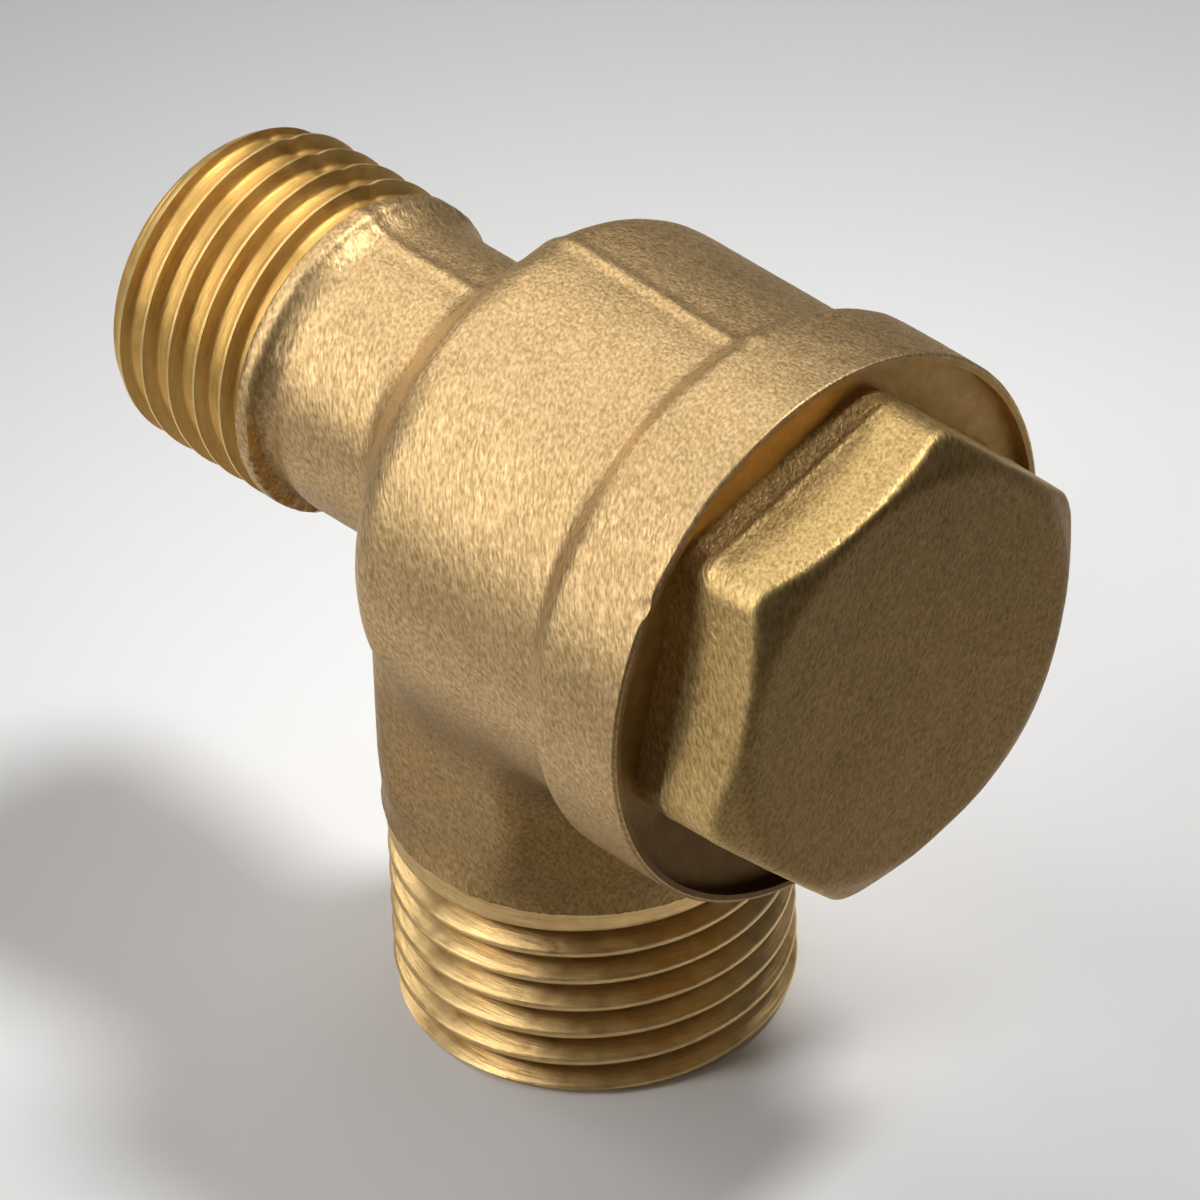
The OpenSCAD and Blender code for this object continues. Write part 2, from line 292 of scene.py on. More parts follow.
def turned(name, outline, axis="X", sides=THREAD_SIDES):
    """Closed solid from an outline of (place along the axis, radius), which starts and ends on the axis."""
    places = np.array(outline)
    ring = places[1:-1]
    angles = 2 * math.pi * np.arange(sides) / sides
    along = np.repeat(ring[:, 0], sides)
    radius = np.repeat(ring[:, 1], sides)
    turn = np.tile(angles, len(ring))
    points = np.stack([along, radius * np.cos(turn), radius * np.sin(turn)], 1)
    points = np.concatenate([points, [[places[0, 0], 0, 0], [places[-1, 0], 0, 0]]])
    first, last = len(points) - 2, len(points) - 1
    faces = []
    for i in range(len(ring) - 1):
        for j in range(sides):
            k = (j + 1) % sides
            faces.append((i * sides + j, i * sides + k, (i + 1) * sides + k, (i + 1) * sides + j))
    end = (len(ring) - 1) * sides
    for j in range(sides):
        k = (j + 1) % sides
        faces.append((first, k, j))
        faces.append((last, end + j, end + k))
    body = new_object(name, place(points, axis), faces)
    face_outward(body)
    return body


def place(points, axis):
    """Moves points made along X about the origin onto the barrel's axis, or stands them on the tank axis."""
    if axis == "X":
        return points + [0, 0, AXIS_Z]
    return points[:, [1, 2, 0]]


def thread_rod(name, crest_r, pitch, tooth, start, end, axis="X", fade=None, phase=0.0, dent=None,
               sides=THREAD_SIDES):
    """Closed rod with a right-hand thread. tooth lists (share of the pitch, depth under the crest).

    fade(place) scales the depth along the rod. dent lists (angle, width, depth) of a shallow run along it."""
    per_turn = len(tooth)
    turns = int(math.ceil((end - start) / pitch)) + 1
    rows = turns * per_turn + 1
    row = np.arange(rows)
    share = row // per_turn + np.array([t[0] for t in tooth])[row % per_turn]
    depth = np.array([t[1] for t in tooth])[row % per_turn]
    column = np.arange(sides)
    along = start + pitch * (share[None, :] + column[:, None] / sides)
    if fade is not None:
        depth = depth[None, :] * fade(along)
    else:
        depth = np.broadcast_to(depth[None, :], along.shape)
    turn = 2 * math.pi * column[:, None] / sides + phase + 0 * along
    radius = crest_r - depth
    if dent is not None:
        dent_turn, dent_w, dent_d = dent
        away = crest_r * np.sin((turn - math.radians(dent_turn)) / 2) * 2
        radius = radius - dent_d * np.exp(-(away / dent_w) ** 2)
    points = np.stack([along, radius * np.cos(turn), radius * np.sin(turn)], 2).reshape(-1, 3)

    def number(j, i):
        return j * rows + i

    faces = []
    for j in range(sides):
        joined = (j + 1) % sides
        shift = per_turn if joined == 0 else 0
        for i in range(rows - 1 - shift):
            faces.append((number(j, i), number(joined, i + shift), number(joined, i + 1 + shift), number(j, i + 1)))
    low_loop = [number(j, 0) for j in range(sides)] + [number(0, i) for i in range(per_turn, 0, -1)]
    high_loop = [number(j, rows - 1) for j in range(sides)]
    high_loop += [number(sides - 1, i) for i in range(rows - 2, rows - 2 - per_turn, -1)]
    middle = [start + pitch / 2, start + pitch * (turns + 0.5)]
    points = np.concatenate([points, [[m, 0, 0] for m in middle]])
    for centre, loop in ((len(points) - 2, low_loop[::-1]), (len(points) - 1, high_loop)):
        for a, b in zip(loop, loop[1:] + loop[:1]):
            faces.append((centre, a, b))
    body = new_object(name, place(points, axis), faces)
    face_outward(body)
    return body


def combine(body, other, operation):
    """Applies a boolean of two closed solids to the first and deletes the second."""
    change = body.modifiers.new("combine", "BOOLEAN")
    change.operation = operation
    change.solver = "MANIFOLD"
    change.object = other
    evaluated = body.evaluated_get(bpy.context.evaluated_depsgraph_get())
    mesh = bpy.data.meshes.new_from_object(evaluated)
    body.modifiers.clear()
    old = body.data
    body.data = mesh
    mesh.name = body.name
    bpy.data.meshes.remove(old)
    bpy.data.objects.remove(other)
    return body


def whitworth(pitch, flank=27.5, rounding=0.137329, height=0.640327):
    """Rounded tooth as (share of the pitch, depth) from one crest's start to the next."""
    r = rounding * pitch
    lean = math.radians(90 - flank)
    turns = np.linspace(-lean, lean, 5)
    crest = [(r * math.sin(t), r - r * math.cos(t)) for t in turns]
    deep = height * pitch
    root = [(pitch / 2 + r * math.sin(t), deep - r + r * math.cos(t)) for t in turns]
    points = crest + root
    return [((a - points[0][0]) / pitch, d) for a, d in points]


def flat_tooth(pitch, crest=0.16, flank=0.36, depth=0.72, rounding=0.1):
    """Tooth with a thin crest, steep flanks and a wide flat root. Sizes are in millimetres."""
    foot = crest / 2 + flank
    points = [
        (-crest / 2 - 0.03, 0.06), (-crest / 2, 0), (crest / 2, 0), (crest / 2 + 0.03, 0.06),
        (foot - rounding / 2, depth - rounding), (foot + rounding, depth),
        (pitch / 2, depth + 0.02),
        (pitch - foot - rounding, depth), (pitch - foot + rounding / 2, depth - rounding)]
    return [((a - points[0][0]) / pitch, d) for a, d in points]


# Forged skin of the body

def barrel_outline():
    """Outline (x, r) of the barrel's forged skin, from the ring behind the inlet thread to past the mouth."""
    cone = math.radians(CONE_ANGLE)
    top_r = BARREL_R - SHOULDER_R * (1 - math.cos(cone))
    foot_r = INLET_NECK_R + ROOT_R * (1 - math.cos(cone))
    cone_len = (top_r - foot_r) / math.tan(cone)
    root_x = SHOULDER_X - (SHOULDER_R + ROOT_R) * math.sin(cone) - cone_len
    crevice_r = INLET_NECK_R - CREVICE_D
    return (
        [(RING_FROM - 0.5, 0), (RING_FROM - 0.5, INLET_R - 0.75), (RING_FROM, INLET_R)]
        + arc(RING_TO - 0.3, INLET_R - 0.3, 0.3, 0, -60, 3)
        + arc(RING_TO + RING_STEP, crevice_r + RING_STEP, RING_STEP, 100, 180)
        + smooth_step_points(RING_TO + RING_STEP + 0.1, CREVICE_W, crevice_r, INLET_NECK_R)
        + arc(root_x, INLET_NECK_R + ROOT_R, ROOT_R, 180, 180 + CONE_ANGLE)
        + arc(SHOULDER_X, BARREL_R - SHOULDER_R, SHOULDER_R, CONE_ANGLE, 0)
        + smooth_step_points(MOUTH_X - COLLAR_W, COLLAR_STEP_W, BARREL_R, COLLAR_R)
        + [(MOUTH_X + 1, COLLAR_R), (MOUTH_X + 1, 0)])


barrel_field = ProfileField(barrel_outline())


def waviness(x, y, z):
    """Slow unevenness of a hot forging, a few hundredths of a millimetre."""
    return (
        0.010 * np.sin(1.31 * x + 0.83 * y + 0.4) * np.sin(0.97 * z - 0.61 * y + 1.1)
        + 0.008 * np.sin(2.17 * y - 1.43 * z + 2.0) * np.sin(1.71 * x + 0.77 * z)
        + 0.005 * np.sin(3.9 * x - 2.3 * y + 1.7 * z) * np.sin(3.1 * z + 2.7 * y - 0.9))


def lumps(x, y, z):
    """Roughness of the ring behind the inlet thread, which the die trims."""
    near = np.exp(-((x - RING_TO - 0.1) / 0.55) ** 2)
    return RING_LUMP * near * np.sin(4.1 * y + 1.9 * z + 0.7) * np.sin(3.3 * z - 2.6 * y + 3.0 * x)


def ring_ramp(x, y, z):
    """Ramp from the ring down to the inlet neck, which sinks into the skin where the crevice is open."""
    up = z - AXIS_Z
    share = np.clip((x - RING_TO) / RAMP_LEN, 0, 1)
    rise = RAMP_RISE * (1 - share) ** 1.5 - np.clip(0.5 - up / INLET_NECK_R, 0, 1)
    ends = np.maximum(RING_TO - 0.3 - x, x - RING_TO - RAMP_LEN)
    return np.maximum(np.hypot(y, up) - INLET_NECK_R - rise, ends)


def ridge(x, y, z):
    """Fine ridge that the two halves of the forging die leave along the body."""
    on_barrel = 1 / (1 + np.exp(-(x + 4) * 2))
    place_y = 0.4 + on_barrel * (0.9 - 0.034 * x)
    fade = 1 / (1 + np.exp((x - 12.6) * 3))
    return RIDGE_H * fade * np.exp(-((y - place_y) / RIDGE_W) ** 2)


def neck_field(x, y, z):
    """Eight-sided neck with soft edges, tapered at its foot and sloped in behind the barrel."""
    across_x = np.abs(x) - NECK_W / 2
    across_y = np.abs(y) - NECK_D / 2
    bevel = (np.abs(x) + np.abs(y)) / math.sqrt(2) - NECK_BEVEL / 2
    sides = smooth_max(smooth_max(across_x, bevel, NECK_ROUND), across_y, NECK_ROUND)
    spread = np.hypot(x, y)
    rise = (NECK_CORNER_R - NECK_FOOT_R) / NECK_TAPER
    foot = spread - NECK_FOOT_R - rise * (z - THREAD_TOP)
    corner = spread - NECK_CORNER_R
    slope = (spread - NECK_CORNER_R + z - (AXIS_Z - 8)) * math.sqrt(0.5)
    rounded = smooth_max(smooth_max(foot, corner, 0.5), slope, 1.5)
    flare = spread - NECK_FLARE_R + NECK_FLARE * (z - THREAD_TOP)
    ends = np.maximum(THREAD_TOP - 0.1 - z, z - AXIS_Z)
    return np.maximum(smooth_min(smooth_max(sides, rounded, 0.6), flare, 0.5), ends)


def nick(x, y, z):
    """Small nick in the collar's rim."""
    away = (x - MOUTH_X) ** 2 + (y + NICK_Y) ** 2 + (z - AXIS_Z - NICK_UP) ** 2
    return NICK_D * np.exp(-away / NICK_R ** 2)


def body_field(x, y, z):
    barrel = barrel_field(x, np.hypot(y, z - AXIS_Z))
    skin = smooth_min(barrel, neck_field(x, y, z), NECK_BLEND)
    skin = smooth_min(skin, ring_ramp(x, y, z), 0.25)
    return skin - waviness(x, y, z) - lumps(x, y, z) - ridge(x, y, z) + nick(x, y, z)


def lines(low, high, step, fine=None):
    """Grid lines from low to high, closer together inside the fine stretch (low, high, step)."""
    coarse = np.arange(low, high + step, step)
    if fine is None:
        return coarse
    keep = coarse[(coarse < fine[0] - step * 0.6) | (coarse > fine[1] + step * 0.6)]
    return np.sort(np.concatenate([keep, np.arange(fine[0], fine[1] + fine[2] / 2, fine[2])]))


def forged_body():
    grid = 0.27
    xs = lines(RING_FROM - 1.2, MOUTH_X + 1.6, grid)
    ys = lines(-COLLAR_R - 0.7, COLLAR_R + 0.7, grid, fine=(-0.4, 2.0, 0.12))
    zs = lines(THREAD_TOP - 1.2, AXIS_Z + COLLAR_R + 0.7, grid, fine=(THREAD_TOP - 0.45, THREAD_TOP + 0.45, 0.09))
    points, faces = surface_net(body_field, xs, ys, zs)
    return new_object("body_forging", points, faces)


def tank_nipple():
    """Threaded tank nipple, with its core reaching up into the neck."""
    def fade(z):
        return np.clip((THREAD_TOP - 0.8 - z) / 1.0, 0, 1)

    rod = thread_rod("tank_nipple", TANK_R, TANK_PITCH, whitworth(TANK_PITCH), -3.2, THREAD_TOP + 4,
                     axis="Z", fade=fade, phase=TANK_THREAD_PHASE)
    rim_r = TANK_R - 0.45
    envelope = turned("envelope", [
        (0, 0), (0, rim_r), (0.9, rim_r + 0.9), (THREAD_TOP + 0.1, rim_r + 0.9),
        (THREAD_TOP + 0.9, rim_r - 0.3), (THREAD_TOP + 2.4, rim_r - 0.3), (THREAD_TOP + 2.4, 0)], axis="Z")
    return combine(rod, envelope, "INTERSECT")


def inlet_nipple():
    """Threaded inlet nipple with its domed nose, and a core reaching into the ring."""
    def fade(x):
        return np.clip((RING_TO + 0.2 - x) / 1.0, 0, 1)

    rod = thread_rod("inlet_nipple", INLET_R, INLET_PITCH, flat_tooth(INLET_PITCH), INLET_END - 4,
                     RING_TO + 2, fade=fade, phase=INLET_THREAD_PHASE, dent=THREAD_DENT)
    rim_r = SOCKET_R + NOSE_RIM_W
    slope = math.radians(NOSE_ANGLE)
    foot_r = INLET_R - NOSE_R * (1 - math.cos(slope))
    nose_x = INLET_END + NOSE_R * math.sin(slope) + (foot_r - rim_r) / math.tan(slope)
    nose = arc(nose_x, INLET_R + 0.02 - NOSE_R, NOSE_R, NOSE_ANGLE, 0)
    envelope = turned("envelope", [(INLET_END, 0), (INLET_END, rim_r)] + nose + [
        (RING_FROM + 0.25, INLET_R + 0.1), (RING_FROM + 0.25, INLET_R - 1), (RING_TO + 0.4, INLET_R - 1.2),
        (RING_TO + 0.4, 0)])
    return combine(rod, envelope, "INTERSECT")


def barrel_cutter():
    """Everything machined from the barrel's two ends."""
    recess_r = COLLAR_R - LIP_W
    rim = [(MOUTH_X - RIM_EDGE * (1 - math.cos(t)), COLLAR_R - RIM_EDGE + RIM_EDGE * math.sin(t))
           for t in np.radians(np.linspace(0, 75, 5))]
    return turned("cutter", [
        (INLET_END - 2, 0),
        (INLET_END - 2, SOCKET_R + 2.6),
        (INLET_END + 0.6, SOCKET_R),
        (SOCKET_END, SOCKET_R),
        (SOCKET_END + 0.3, INLET_THROAT_R),
        (SEAT_X, INLET_THROAT_R),
        (SEAT_X, INLET_THROAT_R + SEAT_W),
        (SEAT_X - SEAT_H, INLET_THROAT_R + SEAT_W + SEAT_H),
        (SEAT_X - SEAT_H, CHAMBER_R - 0.6),
        (SEAT_X - SEAT_H + 0.6, CHAMBER_R),
        (SHANK_END - 0.4, CHAMBER_R),
        (SHANK_END + 0.4, CAP_THREAD_R + 0.02),
        (GLAND_X, CAP_THREAD_R + 0.02),
        (GLAND_X, GLAND_R),
        (RECESS_X, GLAND_R),
        (RECESS_X, recess_r),
        (MOUTH_X, recess_r)] + rim + [
        (MOUTH_X - RIM_EDGE, COLLAR_R + 2),
        (MOUTH_X + 3, COLLAR_R + 2),
        (MOUTH_X + 3, 0)])


def tank_cutter():
    top = AXIS_Z - math.sqrt(CHAMBER_R ** 2 - TANK_THROAT_R ** 2) + 0.2
    return turned("cutter", [
        (-2, 0),
        (-2, TANK_BORE_R + 2.6),
        (0.6, TANK_BORE_R),
        (TANK_BORE_LEN, TANK_BORE_R),
        (TANK_BORE_LEN + 0.4, TANK_THROAT_R),
        (top, TANK_THROAT_R),
        (top, 0)], axis="Z")


def face_centres(body):
    centres = np.empty(len(body.data.polygons) * 3)
    body.data.polygons.foreach_get("center", centres)
    return centres.reshape(-1, 3) / MM


def dress(body, materials, choice):
    """Sets the materials of a mesh and gives each face the one that choice names by number."""
    body.data.materials.clear()
    for material in materials:
        body.data.materials.append(material)
    body.data.polygons.foreach_set("material_index", choice.astype(np.int32))


def off_skin(centres, field, near=0.035):
    """True for faces that don't lie on a forged skin, which are machined."""
    return np.abs(field(*centres.T)) > near


def finish_mesh(body, angle=38):
    body.data.shade_smooth()
    body.data.set_sharp_from_angle(angle=math.radians(angle))
    body.data.update()


def make_body():
    body = forged_body()
    combine(body, tank_nipple(), "UNION")
    combine(body, inlet_nipple(), "UNION")
    combine(body, barrel_cutter(), "DIFFERENCE")
    combine(body, tank_cutter(), "DIFFERENCE")
    body.name = "body_forged"
    return body


# Cap

def head_field(x, y, z):
    """Forged hexagon with softened corners, a turned chamfer and a trimmed band at its foot."""
    up = z - AXIS_Z
    above = x - (RECESS_X + BAND_H)
    on_band = 1 / (1 + np.exp(above / BAND_SOFT))
    uneven = 0.8 + 0.35 * np.sin(5.3 * y + 1.0) * np.sin(4.7 * z + 2.2 * y)
    flash = FLASH_H * uneven * np.exp(-(above / FLASH_W) ** 2)
    sides = None
    for i in range(6):
        turn = math.radians(HEX_TURN + 30 + 60 * i)
        flat = y * math.cos(turn) + up * math.sin(turn) - HEX_AF / 2
        sides = flat if sides is None else smooth_max(sides, flat, 0.9)
    sides = sides + BAND_STEP * on_band - flash + 0.018 * np.maximum(above, 0)
    spread = np.hypot(y, up)
    cone = (spread - HEX_FACE_R) * math.sin(math.radians(30)) + (x - HEX_TOP) * math.cos(math.radians(30))
    head = smooth_max(sides, spread - HEX_CORNER_R + BAND_STEP * on_band, 0.3)
    head = smooth_max(head, cone, CHAMFER_SOFT)
    head = smooth_max(head, x - HEX_TOP, 0.25)
    return np.maximum(head, RECESS_X - 0.4 - x) - 0.6 * waviness(x + 7, y, z)


def forged_head():
    grid = 0.24
    xs = lines(RECESS_X - 1, HEX_TOP + 0.6, grid, fine=(RECESS_X + 1.1, RECESS_X + 2.1, 0.1))
    ys = lines(-14.6, 14.6, grid)
    zs = lines(AXIS_Z - 14.6, AXIS_Z + 14.6, grid)
    points, faces = surface_net(head_field, xs, ys, zs)
    return new_object("cap_forging", points, faces)


def make_cap():
    body = forged_head()
    below = turned("below", [(RECESS_X - 2, 0), (RECESS_X - 2, 16), (RECESS_X, 16), (RECESS_X, 0)])
    combine(body, below, "DIFFERENCE")
    shank_r = CAP_THREAD_R - 0.1
    relief_r = CHAMBER_R + 0.2
    shank = turned("shank", [
        (SHANK_END, 0),
        (SHANK_END, shank_r - 0.8),
        (SHANK_END + 0.8, shank_r),
        (GLAND_X - 0.4, shank_r),
        (GLAND_X, relief_r),
        (RECESS_X + 0.5, relief_r),
        (RECESS_X + 0.5, 0)])
    combine(body, shank, "UNION")
    pocket = turned("pocket", [
        (SHANK_END - 1, 0),
        (SHANK_END - 1, POCKET_R),
        (SHANK_END + POCKET_DEPTH, POCKET_R),
        (SHANK_END + POCKET_DEPTH, GUIDE_R),
        (GUIDE_END, GUIDE_R),
        (GUIDE_END + GUIDE_R * math.tan(math.radians(30)), 0)])
    combine(body, pocket, "DIFFERENCE")
    body.name = "cap_forged"
    return body


# Materials
GRAIN_ALONG = Vector((-0.46, 0.43, 0.78))
GRAIN_TURN = GRAIN_ALONG.rotation_difference(Vector((0, 0, 1))).to_euler()
GRAIN_STRETCH = 0.38


class Shader:
    """A node material with one Principled shader and short ways to add nodes."""

    def __init__(self, name, **sockets):
        self.material = bpy.data.materials.new(name)
        self.material.use_nodes = True
        self.nodes = self.material.node_tree.nodes
        self.links = self.material.node_tree.links
        self.bsdf = self.nodes["Principled BSDF"]
        for socket, value in sockets.items():
            self.bsdf.inputs[socket.replace("_", " ")].default_value = value
        self.coords = self.nodes.new("ShaderNodeTexCoord").outputs["Object"]

    def add(self, kind, inputs=None, **properties):
        node = self.nodes.new("ShaderNode" + kind)
        for name, value in properties.items():
            setattr(node, name, value)
        for name, value in (inputs or {}).items():
            if isinstance(value, bpy.types.NodeSocket):
                self.links.new(value, node.inputs[name])
            else:
                node.inputs[name].default_value = value
        return node

    def drawn_out(self):
        """Object coordinates turned and squeezed, so that noise comes out longer along GRAIN_ALONG."""
        turned_coords = self.add("VectorRotate", {"Vector": self.coords, "Rotation": GRAIN_TURN},
                                 rotation_type="EULER_XYZ").outputs["Vector"]
        return self.add("VectorMath", {0: turned_coords, 1: (1, 1, GRAIN_STRETCH)},
                        operation="MULTIPLY").outputs["Vector"]

    def noise(self, scale, detail=2.0, roughness=0.5, vector=None):
        node = self.add("TexNoise", {"Vector": vector or self.coords, "Scale": scale, "Detail": detail,
                                     "Roughness": roughness})
        return node.outputs["Fac"]

    def ramp(self, value, stops):
        node = self.add("ValToRGB", {"Fac": value})
        elements = node.color_ramp.elements
        while len(elements) < len(stops):
            elements.new(0.5)
        for element, (place_at, colour) in zip(elements, stops):
            element.position = place_at
            element.color = (*colour, 1)
        return node.outputs["Color"]

    def spread(self, value, low, high, to_low, to_high):
        node = self.add("MapRange", {"Value": value, "From Min": low, "From Max": high,
                                     "To Min": to_low, "To Max": to_high})
        return node.outputs["Result"]

    def maths(self, operation, a, b):
        node = self.add("Math", operation=operation)
        for socket, value in zip(node.inputs, (a, b)):
            if isinstance(value, bpy.types.NodeSocket):
                self.links.new(value, socket)
            else:
                socket.default_value = value
        return node.outputs[0]

    def bump(self, height, distance, strength=1.0, below=None):
        inputs = {"Height": height, "Distance": distance, "Strength": strength}
        if below is not None:
            inputs["Normal"] = below
        return self.add("Bump", inputs).outputs["Normal"]

    def tint(self, colour, tone, share):
        """Multiplies a colour by a tone where share is 1."""
        node = self.add("Mix", {0: share, 6: colour, 7: (*tone, 1)}, data_type="RGBA", blend_type="MULTIPLY")
        return node.outputs[2]

    def wire(self, socket, value):
        self.links.new(value, self.bsdf.inputs[socket])


def distance_from_axis(s, upright):
    """Distance in metres of the shaded point from the tank axis if upright, else from the barrel's axis."""
    if upright:
        keep, shift = (1, 1, 0), (0, 0, 0)
    else:
        keep, shift = (0, 1, 1), (0, 0, -AXIS_Z * MM)
    centred = s.add("VectorMath", {0: s.coords, 1: shift}, operation="ADD").outputs["Vector"]
    flat = s.add("VectorMath", {0: centred, 1: keep}, operation="MULTIPLY").outputs["Vector"]
    return s.add("VectorMath", {0: flat}, operation="LENGTH").outputs["Value"]


def shade_towards_bottom(s, colour, tone, no_shade_z, full_shade_z):
    """Paints shade into a colour towards the bottom, where less light reaches. Heights are in millimetres."""
    height = s.add("SeparateXYZ", {0: s.coords}).outputs["Z"]
    return s.tint(colour, tone, s.spread(height, full_shade_z * MM, no_shade_z * MM, 1, 0))


def forged_brass(name, dark, mid, pale, front_shade=None, shade_tone=None, low_shade=None):
    """Shot-blasted brass forging: matte, with a fine grain of bright specks and dark pits.

    The front tone paints shade on the end that faces +X, and the shade tone paints shade on the sides between +X and
    -Y.
    The low tone paints shade on the neck, lower down, and on what faces down."""
    s = Shader(name, Metallic=1.0)
    along = s.drawn_out()
    grain = s.noise(5800, detail=2, roughness=0.5, vector=along)
    coarse = s.noise(2600, detail=1, vector=along)
    patches = s.noise(220, detail=2)
    specks = s.spread(grain, 0.27, 0.73, 0.08, 0.82)
    tone = s.maths("ADD", specks, s.spread(patches, 0.3, 0.7, 0.0, 0.12))
    colour = s.ramp(tone, [(0.0, dark), (0.5, mid), (1.0, pale)])
    normal = s.nodes["Texture Coordinate"].outputs["Normal"]
    # Painted shade on faces that point towards +X.
    if front_shade is not None:
        facing = s.add("SeparateXYZ", {0: normal}).outputs["X"]
        colour = s.tint(colour, front_shade, s.spread(facing, 0.2, 1.0, 0, 1))
    if shade_tone is not None:
        facing = s.add("VectorMath", {0: normal, 1: (0.7, -0.7, -0.15)}, operation="DOT_PRODUCT").outputs["Value"]
        colour = s.tint(colour, shade_tone, s.spread(facing, 0.75, 0.98, 0, 1))
    # Painted shade towards the bottom and on faces that point down.
    if low_shade is not None:
        colour = shade_towards_bottom(s, colour, low_shade, AXIS_Z - 3, AXIS_Z - 11)
        facing = s.add("SeparateXYZ", {0: normal}).outputs["Z"]
        colour = s.tint(colour, low_shade, s.spread(facing, -0.7, -0.2, 1, 0))
    s.wire("Base Color", colour)
    s.wire("Roughness", s.spread(coarse, 0.3, 0.7, 0.44, 0.54))
    height = s.maths("ADD", grain, s.maths("MULTIPLY", coarse, 0.5))
    s.wire("Normal", s.bump(height, 0.00004))
    return s.material


def machined_brass(name, stretch, dark, pale, rough, thread=None, low_shade=None):
    """Turned brass with tool marks. stretch scales the marks' noise along X, Y and Z.

    thread lists (upright, crest radius, depth, root shade, flank shade). The root shade is painted shade in the
    thread's roots, and the flank shade is painted shade on flanks that face +X."""
    s = Shader(name, Metallic=1.0)
    marks = s.add("Mapping", {"Vector": s.coords, "Scale": stretch}).outputs["Vector"]
    streaks = s.noise(1, detail=4, roughness=0.7, vector=marks)
    smear = s.noise(900, detail=3)
    tone = s.maths("ADD", s.spread(streaks, 0.3, 0.7, 0.0, 0.6), s.spread(smear, 0.35, 0.65, 0.0, 0.4))
    colour = s.ramp(tone, [(0.0, dark), (1.0, pale)])
    if thread is not None:
        # Painted shade in the thread roots and on flanks that face +X.
        upright, crest_r, depth, root_shade, flank_shade = thread
        away = distance_from_axis(s, upright)
        root = s.spread(away, (crest_r - depth) * MM, (crest_r - 0.2) * MM, 1, 0)
        colour = s.tint(colour, root_shade, root)
        if flank_shade is not None:
            facing = s.add("SeparateXYZ", {0: s.nodes["Texture Coordinate"].outputs["Normal"]}).outputs["X"]
            colour = s.tint(colour, flank_shade, s.spread(facing, 0.35, 0.7, 0, 1))
    # Painted shade towards the bottom.
    if low_shade is not None:
        colour = shade_towards_bottom(s, colour, low_shade, AXIS_Z + 6, AXIS_Z - 6)
    s.wire("Base Color", colour)
    s.wire("Roughness", s.spread(smear, 0.3, 0.7, rough - 0.06, rough + 0.06))
    s.wire("Normal", s.bump(s.maths("ADD", streaks, smear), 0.00004))
    return s.material


def rubber(name):
    s = Shader(name, Metallic=0.0)
    speckle = s.noise(3000, detail=2)
    s.wire("Base Color", s.ramp(speckle, [(0.3, (0.018, 0.018, 0.018)), (0.7, (0.035, 0.034, 0.033))]))
    s.wire("Roughness", s.spread(speckle, 0.3, 0.7, 0.55, 0.75))
    s.wire("Normal", s.bump(speckle, 0.00002))
    return s.material


def spring_steel(name):
    s = Shader(name, Metallic=1.0)
    drawn = s.noise(2500, detail=3)
    s.wire("Base Color", s.ramp(drawn, [(0.3, (0.48, 0.49, 0.51)), (0.7, (0.66, 0.67, 0.69))]))
    s.wire("Roughness", s.spread(drawn, 0.3, 0.7, 0.22, 0.38))
    return s.material


def floor_paint(name):
    s = Shader(name, Metallic=0.0, Roughness=0.7)
    speckle = s.noise(40, detail=2)
    s.wire("Base Color", s.ramp(speckle, [(0.0, (0.88, 0.88, 0.88)), (1.0, (0.90, 0.90, 0.90))]))
    return s.material


# The valve
# The shade tone and the low tone of this brass are painted shade on the neck's sides, the lower body and what faces
# down.
FORGED = forged_brass("forged_brass", (0.35, 0.225, 0.095), (0.65, 0.44, 0.205), (0.92, 0.67, 0.37),
                      shade_tone=(0.58, 0.54, 0.46), low_shade=(0.66, 0.62, 0.55))
# The front tone of this brass is painted shade on the cap's end that faces +X.
HEAD = forged_brass("head_brass", (0.40, 0.25, 0.08), (0.73, 0.50, 0.20), (0.98, 0.72, 0.35),
                    front_shade=(0.35, 0.31, 0.255))
UPRIGHT_THREAD = machined_brass("tank_thread_brass", (260, 260, 7000), (0.58, 0.36, 0.13), (0.90, 0.65, 0.31),
                                0.38, thread=(True, TANK_R, 1.2, TANK_ROOT_SHADE, None))
LEVEL_THREAD = machined_brass("inlet_thread_brass", (7000, 260, 260), (0.74, 0.50, 0.17), (0.98, 0.74, 0.33),
                              0.48, thread=(False, INLET_R, 0.72, INLET_ROOT_SHADE, INLET_FLANK_SHADE))
TURNED = machined_brass("turned_brass", (5000, 500, 500), (0.62, 0.40, 0.15), (0.86, 0.60, 0.27), 0.34)
# Faced brass is darker than turned brass as painted shade in the collar's recess, and its low tone paints more shade
# towards the bottom.
FACED_SHADED = machined_brass("faced_brass", (5000, 700, 700), (0.38, 0.225, 0.07), (0.60, 0.38, 0.14), 0.5,
                       low_shade=(0.24, 0.21, 0.18))

body_piece = make_body()
centres = face_centres(body_piece)
machined = off_skin(centres, body_field)
choice = np.where(machined, 4, 0)
from_tank_axis = np.hypot(centres[:, 0], centres[:, 1])
at_tank_thread = np.where(from_tank_axis < TANK_R + 0.03, 1, 0)
choice = np.where(machined & (centres[:, 2] < THREAD_TOP + 1.5), at_tank_thread, choice)
choice = np.where(machined & (centres[:, 0] < RING_TO), 2, choice)
spread = np.hypot(centres[:, 1], centres[:, 2] - AXIS_Z)
choice = np.where(machined & (centres[:, 0] > GLAND_X), 3, choice)
on_rim = (centres[:, 0] > RECESS_X + 0.1) & (spread > COLLAR_R - RIM_EDGE)
choice = np.where(machined & on_rim, 0, choice)
dress(body_piece, [FORGED, UPRIGHT_THREAD, LEVEL_THREAD, FACED_SHADED, TURNED], choice)
finish_mesh(body_piece)
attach(body_piece, "housing")
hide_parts("body")

